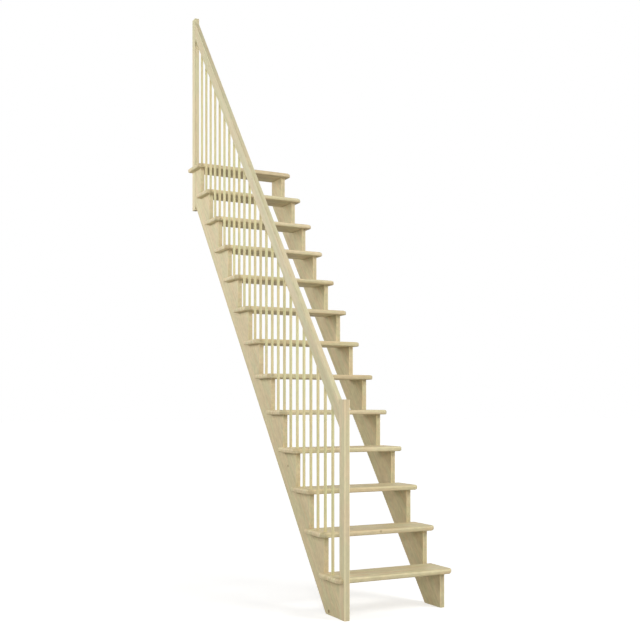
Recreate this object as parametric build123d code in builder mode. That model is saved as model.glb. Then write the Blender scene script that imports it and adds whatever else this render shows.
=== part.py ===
from build123d import *
import math
import os

# Space-saving staircase: thirteen straight treads on two saw-tooth side boards,
# with a railing of round rods on the left side only.
#
# The frame is in millimetres. X runs across the stair, to the right as one climbs,
# Y runs forward in the climbing direction, and Z is up. The origin is on the back
# face of the top post, in the middle of its width, level with the top tread.

# The flight
tread_count = 13
rise = 210.0                 # from one tread's top to the next
going = 166.0                # from one tooth's front to the next

# The two saw-tooth side boards
stringer_thickness = 27.0
stringer_spacing = 609.0     # between the middles of the two boards
foot_depth = 150.0           # length of each board's level cut on the floor
stringer_edge_bevel = 1.5

# The treads
tread_thickness = 27.0
tread_nosing = 40.0          # reach in front of the tooth below
tread_overhang = 32.0        # reach outside each side board
corner_clip = 22.0           # both front corners are cut at 45 degrees
upper_edge_round = 10.0      # the treads' front and ends, but not their backs
lower_edge_round = 8.0
notch_play = 0.5             # gap round a post that a tread is cut out for

# The two posts
post_width = 30.0
post_depth = 57.0
post_edge_round = 3.0
newel_height = 1105.0
post_rise_above_rail = 32.0  # top post above the rail's upper edge
post_drop_below_cut = 30.0   # top post below the end of the side board's plumb cut

# The handrail, a board on edge
rail_thickness = 28.0
rail_depth = 74.0            # square to its length
rail_drop = 26.0             # upper edge below the top of the newel post
rail_edge_round = 5.0

# The rods
rod_diameter = 16.0
rod_offset = 13.0            # first rod of a tread, behind the tooth's front
rods_per_tread = 2
socket_depth = 16.0          # of the rod in the rail, on the side where it goes in least
socket_play = 0.1            # radial
socket_end_play = 2.0        # above the rod, inside the rail

# Worked out from the sizes above
slope = rise / going
pitch = math.atan(slope)
floor_level = -tread_count * rise
rail_height = rail_depth / math.cos(pitch)
rod_radius = rod_diameter / 2
socket_radius = rod_radius + socket_play
rod_spacing = going / rods_per_tread
side_x = stringer_thickness / 2 + tread_overhang


def tread_top(number):
    return (number - tread_count) * rise


def tooth_front(number):
    return (number - 1 - tread_count) * going


def underside(y):
    """Height of the side boards' straight lower edge."""
    return floor_level + (y - tooth_front(1) - foot_depth) * slope


def rail_top(y):
    """Height of the handrail's upper edge."""
    return floor_level + newel_height - rail_drop + (y - tooth_front(1)) * slope


def save(piece, name):
    piece.label = name
    export_step(piece, f"parts/{name}.step")


os.makedirs("parts", exist_ok=True)

newel_front = tooth_front(1) - post_depth
top_post_front = -post_depth


def make_stringer(middle_x, plumb_cut):
    """A saw-tooth side board, with its back end cut plumb at the given Y."""
    outline = [(tooth_front(1), floor_level)]
    for number in range(1, tread_count + 1):
        level = tread_top(number) - tread_thickness
        outline.append((tooth_front(number), level))
        outline.append((min(tooth_front(number + 1), plumb_cut), level))
    outline.append((plumb_cut, underside(plumb_cut)))
    outline.append((tooth_front(1) + foot_depth, floor_level))
    with BuildPart() as board:
        with BuildSketch(Plane.YZ.offset(middle_x)):
            with BuildLine():
                Polyline(*outline, close=True)
            make_face()
        extrude(amount=stringer_thickness / 2, both=True)
        sawn_faces = board.faces().filter_by(Axis.X)
        chamfer(sawn_faces.edges(), stringer_edge_bevel)
    return board.part


def rod_places(number):
    """Y of each rod on a tread. The posts take the place of the outermost two."""
    places = [tooth_front(number) + rod_offset + i * rod_spacing for i in range(rods_per_tread)]
    if number == 1:
        places = places[1:]
    if number == tread_count:
        places = places[:-1]
    return places


def make_tread(number):
    """A tread with clipped front corners and rounded edges, cut out where a post stands."""
    front = tooth_front(number) - tread_nosing
    back = tooth_front(number + 1)
    top = tread_top(number)
    left = -side_x
    right = stringer_spacing + side_x
    with BuildPart() as tread:
        with BuildSketch(Plane.XY.offset(top - tread_thickness)):
            with BuildLine():
                Polyline(
                    (left, back),
                    (left, front + corner_clip),
                    (left + corner_clip, front),
                    (right - corner_clip, front),
                    (right, front + corner_clip),
                    (right, back),
                    close=True,
                )
            make_face()
        extrude(amount=tread_thickness)
        upper = tread.faces().sort_by(Axis.Z)[-1].edges().sort_by(Axis.Y)
        fillet(upper[:-1], upper_edge_round)
        lower = tread.faces().sort_by(Axis.Z)[0].edges().sort_by(Axis.Y)
        fillet(lower[:-1], lower_edge_round)
        if number == 1:
            cut_notch(top, newel_front - notch_play, tooth_front(1) + notch_play)
        if number == tread_count:
            cut_notch(top, top_post_front - notch_play, notch_play)
    return tread.part


def cut_notch(top, start, end):
    """Cuts the tread being made out for a post that stands between two Y places."""
    with Locations((0, (start + end) / 2, top - tread_thickness / 2)):
        Box(
            post_width + 2 * notch_play,
            end - start,
            2 * tread_thickness,
            mode=Mode.SUBTRACT,
        )


def make_post(front, bottom, height):
    with BuildPart() as post:
        with Locations((0, front + post_depth / 2, bottom)):
            Box(
                post_width,
                post_depth,
                height,
                align=(Align.CENTER, Align.CENTER, Align.MIN),
            )
        fillet(post.edges().filter_by(Axis.Z), post_edge_round)
    return post.part


def rod_top(y):
    thin_side = rail_top(y) - rail_height + rod_radius * slope
    return thin_side + socket_depth


def make_handrail():
    lower_end = tooth_front(1)
    upper_end = top_post_front
    with BuildPart() as rail:
        with BuildSketch(Plane.YZ):
            with BuildLine():
                Polyline(
                    (lower_end, rail_top(lower_end)),
                    (upper_end, rail_top(upper_end)),
                    (upper_end, rail_top(upper_end) - rail_height),
                    (lower_end, rail_top(lower_end) - rail_height),
                    close=True,
                )
            make_face()
        extrude(amount=rail_thickness / 2, both=True)
        long_edges = rail.edges().filter_by(lambda edge: edge.length > rail_depth * 2)
        fillet(long_edges, rail_edge_round)
        for number in range(1, tread_count + 1):
            for y in rod_places(number):
                with Locations((0, y, rod_top(y) + socket_end_play)):
                    Cylinder(
                        socket_radius,
                        rail_height,
                        align=(Align.CENTER, Align.CENTER, Align.MAX),
                        mode=Mode.SUBTRACT,
                    )
    return rail.part


def make_rod(number, y):
    foot = tread_top(number)
    with BuildPart() as rod:
        with Locations((0, y, foot)):
            Cylinder(
                rod_radius,
                rod_top(y) - foot,
                align=(Align.CENTER, Align.CENTER, Align.MIN),
            )
    return rod.part


save(make_stringer(0, top_post_front), "left_stringer")
save(make_stringer(stringer_spacing, 0), "right_stringer")

for number in range(1, tread_count + 1):
    save(make_tread(number), f"tread_{number:02d}")

save(make_post(newel_front, floor_level, newel_height), "newel_post")

top_post_bottom = underside(top_post_front) - post_drop_below_cut
top_post_top = rail_top(top_post_front) + post_rise_above_rail
save(make_post(top_post_front, top_post_bottom, top_post_top - top_post_bottom), "top_post")

save(make_handrail(), "handrail")

rod_number = 0
for number in range(1, tread_count + 1):
    for y in rod_places(number):
        rod_number += 1
        save(make_rod(number, y), f"rod_{rod_number:02d}")
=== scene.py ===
import math

import bpy
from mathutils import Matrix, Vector


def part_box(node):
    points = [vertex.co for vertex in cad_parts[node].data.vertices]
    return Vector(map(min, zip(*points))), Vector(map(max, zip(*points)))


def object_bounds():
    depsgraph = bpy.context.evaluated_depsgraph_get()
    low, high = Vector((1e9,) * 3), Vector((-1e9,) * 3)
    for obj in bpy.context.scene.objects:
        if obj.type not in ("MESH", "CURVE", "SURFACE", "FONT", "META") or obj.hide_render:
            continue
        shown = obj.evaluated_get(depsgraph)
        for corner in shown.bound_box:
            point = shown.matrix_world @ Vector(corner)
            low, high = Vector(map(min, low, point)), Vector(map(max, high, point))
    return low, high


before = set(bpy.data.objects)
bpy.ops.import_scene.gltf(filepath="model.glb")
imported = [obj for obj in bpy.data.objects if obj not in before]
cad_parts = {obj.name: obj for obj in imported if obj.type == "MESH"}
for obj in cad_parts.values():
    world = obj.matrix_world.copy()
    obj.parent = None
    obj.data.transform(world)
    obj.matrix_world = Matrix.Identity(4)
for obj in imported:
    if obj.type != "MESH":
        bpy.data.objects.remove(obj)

# A steep wooden staircase of pale, untreated softwood. The frame gives its shapes, and
# this script gives each board its grain, rings, staves and knots, and lights it.

CAD_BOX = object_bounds()

# Places read from the frame, in metres
LOWEST = CAD_BOX[0]
HIGHEST = CAD_BOX[1]
FLOOR_HEIGHT = LOWEST[2]
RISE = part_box("tread_03")[1][2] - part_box("tread_02")[1][2]
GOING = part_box("tread_03")[1][1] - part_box("tread_02")[1][1]
PITCH = math.atan2(RISE, GOING)
ROD_STEP = GOING / 2
BOARD_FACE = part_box("left_stringer")[0][0]
TREAD_2_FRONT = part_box("tread_02")[0][1]

# Directions
ACROSS_STAIR = (1.0, 0.0, 0.0)
FORWARD = (0.0, 1.0, 0.0)
UPRIGHT = (0.0, 0.0, 1.0)
UP_THE_SLOPE = (0.0, math.cos(PITCH), math.sin(PITCH))
SQUARE_TO_SLOPE = (0.0, -math.sin(PITCH), math.cos(PITCH))

# Grains: along the fibres, across the width of the board, and through its depth
SLOPING_GRAIN = (UP_THE_SLOPE, SQUARE_TO_SLOPE, ACROSS_STAIR)
CROSSWISE_GRAIN = (ACROSS_STAIR, FORWARD, UPRIGHT)
UPRIGHT_GRAIN = (UPRIGHT, FORWARD, ACROSS_STAIR)

# Camera: it stands before the flight, to its left, and looks level towards its middle
IMAGE_SIZE = 640.0
FOCAL_PIXELS = 968.5
HORIZON_ROW = 406.6
SENSOR_WIDTH = 36.0
CAMERA_PLACE = (-2.3343, -6.4366, -1.6608)
CAMERA_TURN = math.radians(27.325)
CAMERA_REACH = 200.0

# Lamps: name, place, size and power. They all aim at one place in the flight.
LAMP_AIM = (0.25, -0.9, -0.6)
LAMPS = (
    ("front", (-2.6, -7.5, -0.2), 1.5, 95.0),
    ("right_front", (3.2, -5.2, 1.6), 3.0, 190.0),
    ("left", (-5.5, -1.5, 0.1), 1.6, 73.0),
    ("left_back", (-3.1, 2.0, 0.2), 2.0, 80.0),
)

# World and floor. The floor glows to the camera alone, more so farther from the stair.
WHITE = (1.0, 1.0, 1.0, 1.0)
WORLD_LIGHT = 0.27
BACKDROP_LIGHT = 1.0
FLOOR_REACH = 60.0
FLOOR_GREY = (0.68, 0.68, 0.68, 1.0)
NEAR_DISTANCE = 1.2
FAR_DISTANCE = 6.0
NEAR_GLOW = 0.56
FAR_GLOW = 0.86

# Wood colours: the pale early wood, then the darker late wood and streaks
BOARD_COLOURS = ((0.823, 0.772, 0.628), (0.71, 0.625, 0.438))
TREAD_COLOURS = ((0.853, 0.805, 0.668), (0.738, 0.650, 0.470))
NEWEL_COLOURS = ((0.845, 0.797, 0.665), (0.757, 0.678, 0.517))
RAIL_COLOURS = ((0.853, 0.815, 0.68), (0.765, 0.695, 0.53))
ROD_COLOURS = ((0.885, 0.852, 0.675), (0.80, 0.735, 0.52))
KNOT_BROWN = (0.47, 0.33, 0.19)
COOL_TINT = (0.965, 1.005, 0.96, 1.0)
WARM_TINT = (1.03, 0.99, 0.97, 1.0)

# Staves: strips that a board is glued up from. The heart of their rings lies aside from a
# stave's middle, and below zero in the direction through the board.
STAVE_WIDTH = 0.048
POST_STAVE_WIDTH = 0.08
ROD_STAVE_WIDTH = 0.09
RAIL_STAVE_WIDTH = 0.12
HEART_ASIDE = (-0.03, 0.03)
HEART_BELOW = (0.025, 0.085)

# Rings: their width in metres, how far they wander, and, as shares of one ring, where
# its late wood starts, is darkest and ends
RING_WIDTH = 0.0034
RING_WANDER = 0.022
LATE_WOOD_START = 0.35
LATE_WOOD_FULL = 0.95
LATE_WOOD_END = 0.96

# Noise patterns: cells to a metre along the grain, across it and through it, and detail
RING_BENDS = (1.6, 9.0, 9.0, 1.0)
STREAKS = (1.1, 70.0, 40.0, 3.0)
FIBRES = (28.0, 1100.0, 1100.0, 2.0)
CLOUDS = (2.3, 7.0, 7.0, 2.0)
MOTTLES = (30.0, 65.0, 65.0, 2.0)
WARMTHS = (6.0, 22.0, 22.0, 1.0)

# Values of a pattern between which it goes from nothing to its full effect
STREAK_RANGE = (0.35, 0.75)
WARM_RANGE = (0.38, 0.62)
ROUGH_RANGE = (0.2, 0.8)

# Numbers that tell single pieces apart. Treads and rods get theirs from their places.
LEFT_BOARD = 1.0
RIGHT_BOARD = 2.0
NEWEL_POST = 3.0
TOP_POST = 4.0
HANDRAIL = 5.0

# Factors that keep boards, staves and knots from sharing one pattern
BOARD_SPREAD = 31.7
STAVE_SPREAD = 3.1
KNOT_SPREAD = 7.3

# How strongly late wood and streaks show, on posts, rail and rods unless named otherwise
FIGURE = 0.34
BOARD_FIGURE = 0.20
TREAD_FIGURE = 0.50
LATE_WOOD_SHARE = 0.75

# How far the tone swings from fibre to fibre, from piece to piece and so on
FIBRE_TONE = 0.12
CLOUD_TONE = 0.16
STAVE_TONE = 0.09
PIECE_TONE = 0.05
ROD_TONE = 0.10
MOTTLING = 0.20
BOARD_MOTTLING = 0.38
TREAD_MOTTLING = 0.36

# Surface
FIBRE_HEIGHT = 0.6
RING_HEIGHT = 0.4
BUMP_STRENGTH = 0.35
BUMP_HEIGHT = 0.0004
LEAST_ROUGHNESS = 0.50
MOST_ROUGHNESS = 0.62
SPECULAR = 0.3

# Strewn knots: only a cell of the pattern with a random value over the chance has one,
# and the squeeze brings them closer and makes them narrower across the grain. An edge is
# where a knot starts to show and where it is full, as shares of its radius.
KNOTS_PER_METRE = 5.0
KNOT_SQUEEZE = 1.4
KNOT_CHANCE = (0.60, 0.62)
KNOT_RADIUS = 0.007
ROD_KNOT_RADIUS = 0.004
SMALLEST_KNOT = 0.5
KNOT_EDGE = (1.15, 0.75)
KNOT_STRENGTH = 0.75

# Placed knots: place, radius and strength
PLACED_KNOT_EDGE = (1.2, 0.6)
BOARD_KNOTS = (
    ((BOARD_FACE, -2.043, -2.711), 0.010, 1.0),
    ((BOARD_FACE, -1.556, -1.992), 0.008, 0.8),
)
TREAD_KNOTS = (
    ((0.305, TREAD_2_FRONT, -2.321), 0.008, 0.5),
)
ROD_KNOTS = (
    ((0.0, -1.970, -1.801), 0.010, 0.6),
    ((0.0, -1.802, -1.845), 0.010, 0.6),
    ((0.0, -1.796, -1.569), 0.010, 0.6),
    ((0.0, -1.890, -1.742), 0.010, 0.6),
)

# Painted highlights along rounded edges: how much paler they make the tone, and how far that
# reaches
NEWEL_HIGHLIGHT = 0.30
LEFT_TEETH_HIGHLIGHT = 0.10
RIGHT_TEETH_HIGHLIGHT = 0.22
NOSING_HIGHLIGHT = 0.12
ARRIS_WIDTH = 0.006
TEETH_FADE = 0.004
NOSING_REACH = 0.014
TREAD_END_REACH = 0.012
ROUNDING_MIDDLE = 0.005
ROUNDING_REACH = 0.008


def linear(colour):
    """An sRGB colour as the linear one that a shader socket takes."""
    return [c / 12.92 if c <= 0.04045 else ((c + 0.055) / 1.055) ** 2.4 for c in colour] + [1.0]


class Nodes:
    """The nodes of one material or world. Most methods add one and give back its output."""

    def __init__(self, owner):
        owner.use_nodes = True
        self.tree = owner.node_tree
        self.tree.nodes.clear()

    def node(self, kind, **settings):
        node = self.tree.nodes.new(kind)
        for key, value in settings.items():
            setattr(node, key, value)
        return node

    def put(self, value, socket):
        """Links an output to a socket, or sets the socket to a constant."""
        if isinstance(value, bpy.types.NodeSocket):
            self.tree.links.new(value, socket)
        else:
            socket.default_value = value

    def fill(self, node, **values):
        """Puts values into a node's inputs, named in lower case and with underscores."""
        sockets = {socket.name.lower().replace(" ", "_"): socket for socket in node.inputs}
        for name, value in values.items():
            self.put(value, sockets[name])

    def math(self, operation, *values):
        node = self.node("ShaderNodeMath", operation=operation)
        for value, socket in zip(values, node.inputs):
            self.put(value, socket)
        return node.outputs[0]

    def plus(self, a, b):
        return self.math("ADD", a, b)

    def times(self, a, b):
        return self.math("MULTIPLY", a, b)

    def compare_place(self, operation, other):
        """A vector operation on a point's place in the stair's frame and another vector."""
        node = self.node("ShaderNodeVectorMath", operation=operation)
        self.put(self.node("ShaderNodeTexCoord").outputs["Object"], node.inputs[0])
        self.put(other, node.inputs[1])
        return node.outputs["Value"]

    def along(self, direction):
        """How far a point lies along a direction."""
        return self.compare_place("DOT_PRODUCT", direction)

    def distance(self, place):
        return self.compare_place("DISTANCE", place)

    def vector(self, x, y, z):
        node = self.node("ShaderNodeCombineXYZ")
        for value, socket in zip((x, y, z), node.inputs):
            self.put(value, socket)
        return node.outputs[0]

    def split(self, colour):
        """The red, green and blue of a colour."""
        node = self.node("ShaderNodeSeparateColor")
        self.put(colour, node.inputs[0])
        return node.outputs

    def chance(self, number):
        """Three random values for a board's or stave's number."""
        node = self.node("ShaderNodeTexWhiteNoise", noise_dimensions="1D")
        self.put(number, node.inputs["W"])
        return self.split(node.outputs["Color"])

    def noise(self, u, v, w, pattern):
        """Noise from 0 to 1 at a place in a board, as fine as the pattern says."""
        along, wide, deep, detail = pattern
        place = self.vector(self.times(u, along), self.times(v, wide), self.times(w, deep))
        node = self.node("ShaderNodeTexNoise", noise_dimensions="3D")
        self.fill(node, vector=place, scale=1.0, detail=detail, roughness=0.5)
        return node.outputs["Fac"]

    def ramp(self, value, low, high, to_low=0.0, to_high=1.0, smooth=True):
        """Goes from to_low to to_high as a value goes from low to high, and stays there."""
        node = self.node("ShaderNodeMapRange")
        node.interpolation_type = "SMOOTHSTEP" if smooth else "LINEAR"
        for number, socket in zip((value, low, high, to_low, to_high), node.inputs):
            self.put(number, socket)
        return node.outputs[0]

    def blend(self, amount, a, b, mode="MIX"):
        """Two colours blended. The node's colour sockets are inputs 6 and 7, and output 2."""
        node = self.node("ShaderNodeMix", data_type="RGBA", blend_type=mode)
        self.put(amount, node.inputs[0])
        self.put(a, node.inputs[6])
        self.put(b, node.inputs[7])
        return node.outputs[2]


def stave_rings(wood, u, v, w, number, stave_width):
    """How far each place of a board is from the heart of its stave. It also gives the
    stave's own random value, and the place along the grain moved on by the stave."""
    shifted = wood.plus(v, wood.times(wood.chance(number)[0], stave_width))
    stave = wood.math("FLOOR", wood.times(shifted, 1 / stave_width))
    within = wood.plus(shifted, wood.times(wood.plus(stave, 0.5), -stave_width))
    stave_number = wood.plus(wood.times(number, BOARD_SPREAD), stave)
    luck = wood.chance(stave_number)
    heart_aside = wood.ramp(luck[0], 0.0, 1.0, *HEART_ASIDE, smooth=False)
    heart_below = wood.ramp(luck[1], 0.0, 1.0, *HEART_BELOW, smooth=False)
    offset_u = wood.plus(u, wood.times(stave_number, STAVE_SPREAD))
    bend = wood.noise(offset_u, v, w, RING_BENDS)
    bend = wood.times(wood.plus(bend, -0.5), RING_WANDER)
    across = wood.plus(within, heart_aside)
    down = wood.plus(w, heart_below)
    squared = wood.plus(wood.times(across, across), wood.times(down, down))
    radius = wood.plus(wood.math("SQRT", squared), bend)
    return radius, luck[2], offset_u


def late_wood(wood, radius):
    """The dark part of each ring: it comes slowly and ends at once."""
    turn = wood.math("FRACT", wood.times(radius, 1 / RING_WIDTH))
    start = wood.ramp(turn, LATE_WOOD_START, LATE_WOOD_FULL)
    return wood.times(start, wood.ramp(turn, 1.0, LATE_WOOD_END))


def strewn_knots(wood, u, v, number, radius):
    """Small oval knots strewn along a board: up to 1 in one, and 0 away from them."""
    node = wood.node("ShaderNodeTexVoronoi", voronoi_dimensions="3D")
    along = wood.times(u, KNOTS_PER_METRE)
    across = wood.times(v, KNOTS_PER_METRE * KNOT_SQUEEZE)
    place = wood.vector(along, across, wood.times(number, KNOT_SPREAD))
    wood.fill(node, vector=place, scale=1.0)
    reach = wood.times(node.outputs["Distance"], 1 / KNOTS_PER_METRE)
    luck = wood.split(node.outputs["Color"])
    wanted = wood.ramp(luck[0], *KNOT_CHANCE)
    own_radius = wood.ramp(luck[1], 0.0, 1.0, radius * SMALLEST_KNOT, radius, smooth=False)
    share = wood.math("DIVIDE", reach, own_radius)
    return wood.times(wood.ramp(share, *KNOT_EDGE), wanted)


def placed_knot(wood, place, radius, strength):
    """One round knot at a known place."""
    share = wood.math("DIVIDE", wood.distance(place), radius)
    return wood.ramp(share, *PLACED_KNOT_EDGE, 0.0, strength)


def swung_tone(wood, swings):
    """A tone of 1 that each pattern swings up and down by its share."""
    tone = 1.0
    for pattern, share in swings:
        tone = wood.plus(tone, wood.times(wood.plus(pattern, -0.5), share))
    return tone


def make_skin(wood, colour, height, roughness):
    """The surface of the wood, with a fine relief of fibres and rings."""
    bump = wood.node("ShaderNodeBump")
    wood.fill(bump, strength=BUMP_STRENGTH, distance=BUMP_HEIGHT, height=height)
    skin = wood.node("ShaderNodeBsdfPrincipled")
    wood.fill(skin, base_color=colour, roughness=roughness, specular_ior_level=SPECULAR,
              normal=bump.outputs["Normal"])
    wood.fill(wood.node("ShaderNodeOutputMaterial"), surface=skin.outputs["BSDF"])


def make_wood(name, grain, number, colours, stave_width=STAVE_WIDTH, knot_radius=KNOT_RADIUS,
              placed=(), piece_tone=PIECE_TONE, figure=FIGURE, mottling=MOTTLING, painted_highlight=None):
    """Planed softwood. number tells one piece from the next, and is a value or a function
    of the wood. The last argument is a function that adds a painted highlight to the tone
    along edges that would catch the light."""
    material = bpy.data.materials.new(name)
    wood = Nodes(material)
    number = number(wood) if callable(number) else number
    u, v, w = (wood.along(direction) for direction in grain)
    radius, stave_luck, offset_u = stave_rings(wood, u, v, w, number, stave_width)
    late = late_wood(wood, radius)
    streak = wood.noise(offset_u, v, w, STREAKS)
    fibre = wood.noise(offset_u, v, w, FIBRES)
    cloud = wood.noise(offset_u, v, w, CLOUDS)
    mottle = wood.noise(offset_u, v, w, MOTTLES)
    warmth = wood.noise(offset_u, v, w, WARMTHS)

    pale, dark = colours
    streak_share = wood.ramp(streak, *STREAK_RANGE, 0.0, figure)
    dark_share = wood.plus(wood.times(late, figure * LATE_WOOD_SHARE), streak_share)
    colour = wood.blend(dark_share, linear(pale), linear(dark))
    tint = wood.blend(wood.ramp(warmth, *WARM_RANGE), COOL_TINT, WARM_TINT)
    colour = wood.blend(1.0, colour, tint, "MULTIPLY")

    swings = ((fibre, FIBRE_TONE), (cloud, CLOUD_TONE), (mottle, mottling),
              (stave_luck, STAVE_TONE), (wood.chance(number)[1], piece_tone))
    tone = swung_tone(wood, swings)
    # Painted highlight: a paler tone along edges where light would catch
    if painted_highlight:
        tone = wood.plus(tone, painted_highlight(wood))
    colour = wood.blend(1.0, colour, wood.vector(tone, tone, tone), "MULTIPLY")

    knot = strewn_knots(wood, u, v, number, knot_radius)
    for place, own_radius, strength in placed:
        knot = wood.math("MAXIMUM", knot, placed_knot(wood, place, own_radius, strength))
    colour = wood.blend(wood.times(knot, KNOT_STRENGTH), colour, linear(KNOT_BROWN))

    height = wood.plus(wood.times(fibre, FIBRE_HEIGHT), wood.times(late, RING_HEIGHT))
    roughness = wood.ramp(streak, *ROUGH_RANGE, LEAST_ROUGHNESS, MOST_ROUGHNESS)
    make_skin(wood, colour, height, roughness)
    return material


def near(wood, value, place, reach):
    """1 within half the reach of a place, falling to 0 at the whole reach."""
    away = wood.math("ABSOLUTE", wood.plus(value, -place))
    return wood.ramp(away, reach, reach * 0.5)


def from_middle(wood, lowest, highest):
    """How far a point is to either side of a piece's middle, and how far its sides are."""
    middle = (lowest[0] + highest[0]) / 2
    aside = wood.math("ABSOLUTE", wood.plus(wood.along(ACROSS_STAIR), -middle))
    return aside, highest[0] - middle


def newel_edge_highlight(wood):
    """A painted highlight on the two upright front edges of the newel post."""
    lowest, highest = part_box("newel_post")
    side = near(wood, *from_middle(wood, lowest, highest), ARRIS_WIDTH)
    front = near(wood, wood.along(FORWARD), lowest[1], ARRIS_WIDTH)
    return wood.times(wood.times(side, front), NEWEL_HIGHLIGHT)


def teeth_edge_highlight(name, highlight_share):
    """A painted highlight for the upright front edges of a side board's teeth."""
    lowest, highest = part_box(name)

    def edge_highlight(wood):
        side = near(wood, *from_middle(wood, lowest, highest), ARRIS_WIDTH)
        # Half a going more puts the front of each tooth in the middle of its stretch
        steps = wood.times(wood.plus(wood.along(FORWARD), -lowest[1]), 1 / GOING)
        behind = wood.times(wood.math("FRACT", wood.plus(steps, 0.5)), GOING)
        front = near(wood, behind, GOING / 2, ARRIS_WIDTH)
        # The line up the slope through the origin has the teeth above it
        tooth = wood.ramp(wood.along(SQUARE_TO_SLOPE), -TEETH_FADE, 0.0)
        return wood.times(wood.times(wood.times(side, front), tooth), highlight_share)

    return edge_highlight


def tread_number(wood):
    """0 on the top tread, -1 on the one below it, and so on."""
    return wood.math("ROUND", wood.times(wood.along(UPRIGHT), 1 / RISE))


def rod_number(wood):
    """A whole number for each rod, from its place along the flight."""
    return wood.math("ROUND", wood.times(wood.along(FORWARD), 1 / ROD_STEP))


def tread_edge_highlight(wood):
    """The treads' front and ends, with a painted highlight along the rounded upper edge."""
    lowest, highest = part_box("tread_13")
    number = tread_number(wood)
    height = wood.plus(wood.along(UPRIGHT), wood.times(number, -RISE))
    behind = wood.plus(wood.along(FORWARD), wood.times(number, -GOING))
    front = near(wood, behind, lowest[1], NOSING_REACH)
    end = near(wood, *from_middle(wood, lowest, highest), TREAD_END_REACH)
    upper = near(wood, height, highest[2] - ROUNDING_MIDDLE, ROUNDING_REACH)
    outer = wood.math("MAXIMUM", front, end)
    return wood.times(wood.times(outer, upper), NOSING_HIGHLIGHT)


def dress(start, material):
    """Gives a material to each of the frame's pieces whose name starts this way."""
    for name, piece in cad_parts.items():
        if name.startswith(start):
            piece.data.materials.clear()
            piece.data.materials.append(material)


def dress_boards():
    left = make_wood("left_stringer_wood", SLOPING_GRAIN, LEFT_BOARD, BOARD_COLOURS,
                     placed=BOARD_KNOTS, figure=BOARD_FIGURE, mottling=BOARD_MOTTLING,
                     painted_highlight=teeth_edge_highlight("left_stringer", LEFT_TEETH_HIGHLIGHT))
    right = make_wood("right_stringer_wood", SLOPING_GRAIN, RIGHT_BOARD, BOARD_COLOURS,
                      figure=BOARD_FIGURE, mottling=BOARD_MOTTLING,
                      painted_highlight=teeth_edge_highlight("right_stringer", RIGHT_TEETH_HIGHLIGHT))
    dress("left_stringer", left)
    dress("right_stringer", right)


def dress_treads():
    treads = make_wood("tread_wood", CROSSWISE_GRAIN, tread_number, TREAD_COLOURS,
                       placed=TREAD_KNOTS, figure=TREAD_FIGURE, mottling=TREAD_MOTTLING,
                       painted_highlight=tread_edge_highlight)
    dress("tread_", treads)


def dress_railing():
    newel = make_wood("newel_wood", UPRIGHT_GRAIN, NEWEL_POST, NEWEL_COLOURS,
                      stave_width=POST_STAVE_WIDTH, painted_highlight=newel_edge_highlight)
    top_post = make_wood("top_post_wood", UPRIGHT_GRAIN, TOP_POST, RAIL_COLOURS,
                         stave_width=POST_STAVE_WIDTH)
    rail = make_wood("handrail_wood", SLOPING_GRAIN, HANDRAIL, RAIL_COLOURS,
                     stave_width=RAIL_STAVE_WIDTH)
    rods = make_wood("rod_wood", UPRIGHT_GRAIN, rod_number, ROD_COLOURS,
                     stave_width=ROD_STAVE_WIDTH, knot_radius=ROD_KNOT_RADIUS,
                     placed=ROD_KNOTS, piece_tone=ROD_TONE)
    dress("newel_post", newel)
    dress("top_post", top_post)
    dress("handrail", rail)
    dress("rod_", rods)


def make_camera():
    data = bpy.data.cameras.new("camera")
    data.sensor_width = SENSOR_WIDTH
    data.lens = FOCAL_PIXELS / IMAGE_SIZE * SENSOR_WIDTH
    data.shift_y = (HORIZON_ROW - IMAGE_SIZE / 2) / IMAGE_SIZE
    data.clip_end = CAMERA_REACH
    camera = bpy.data.objects.new("camera", data)
    camera.location = CAMERA_PLACE
    camera.rotation_euler = (math.pi / 2, 0.0, -CAMERA_TURN)
    bpy.context.scene.collection.objects.link(camera)
    bpy.context.scene.camera = camera


def make_lamp(name, place, size, power):
    data = bpy.data.lights.new(name, "AREA")
    data.shape = "DISK"
    data.size = size
    data.energy = power
    lamp = bpy.data.objects.new(name, data)
    lamp.location = place
    aim = Vector(LAMP_AIM) - Vector(place)
    lamp.rotation_euler = aim.to_track_quat("-Z", "Y").to_euler()
    bpy.context.scene.collection.objects.link(lamp)


def light_the_flight():
    for lamp in LAMPS:
        make_lamp(*lamp)


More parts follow.
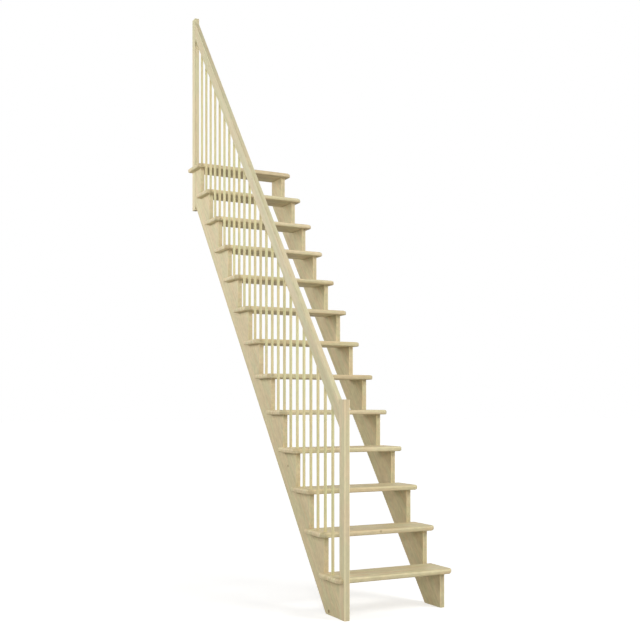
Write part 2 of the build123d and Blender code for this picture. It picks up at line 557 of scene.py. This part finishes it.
def make_world():
    """White to the camera and in reflections, and a softer grey for the light that it gives."""
    world = bpy.data.worlds.new("studio")
    sky = Nodes(world)
    path = sky.node("ShaderNodeLightPath").outputs
    seen = sky.math("MAXIMUM", path["Is Camera Ray"], path["Is Glossy Ray"])
    seen = sky.math("MAXIMUM", seen, path["Is Transmission Ray"])
    light = sky.node("ShaderNodeBackground")
    sky.fill(light, color=WHITE, strength=WORLD_LIGHT)
    backdrop = sky.node("ShaderNodeBackground")
    sky.fill(backdrop, color=WHITE, strength=BACKDROP_LIGHT)
    mix = sky.node("ShaderNodeMixShader")
    for value, socket in zip((seen, light.outputs[0], backdrop.outputs[0]), mix.inputs):
        sky.put(value, socket)
    sky.fill(sky.node("ShaderNodeOutputWorld"), surface=mix.outputs[0])
    bpy.context.scene.world = world


def make_floor_paint(middle):
    """Pale grey that takes a shadow, with a glow on top for the camera alone."""
    material = bpy.data.materials.new("floor_paint")
    paint = Nodes(material)
    plain = paint.node("ShaderNodeBsdfDiffuse")
    paint.fill(plain, color=FLOOR_GREY)
    lift = paint.ramp(paint.distance(middle), NEAR_DISTANCE, FAR_DISTANCE,
                      NEAR_GLOW, FAR_GLOW, smooth=False)
    path = paint.node("ShaderNodeLightPath").outputs
    glow = paint.node("ShaderNodeEmission")
    paint.fill(glow, strength=paint.times(path["Is Camera Ray"], lift))
    both = paint.node("ShaderNodeAddShader")
    for value, socket in zip((plain.outputs[0], glow.outputs[0]), both.inputs):
        paint.put(value, socket)
    paint.fill(paint.node("ShaderNodeOutputMaterial"), surface=both.outputs[0])
    return material


def make_floor():
    """A plain pale floor that runs out to a white horizon."""
    middle = ((LOWEST[0] + HIGHEST[0]) / 2, (LOWEST[1] + HIGHEST[1]) / 2, FLOOR_HEIGHT)
    corners = [(middle[0] + x * FLOOR_REACH, middle[1] + y * FLOOR_REACH, FLOOR_HEIGHT)
               for x, y in ((-1, -1), (1, -1), (1, 1), (-1, 1))]
    mesh = bpy.data.meshes.new("floor")
    mesh.from_pydata(corners, [], [(0, 1, 2, 3)])
    mesh.materials.append(make_floor_paint(middle))
    floor = bpy.data.objects.new("floor", mesh)
    bpy.context.scene.collection.objects.link(floor)


bpy.context.scene.view_settings.view_transform = "Standard"
dress_boards()
dress_treads()
dress_railing()
make_camera()
light_the_flight()
make_world()
make_floor()
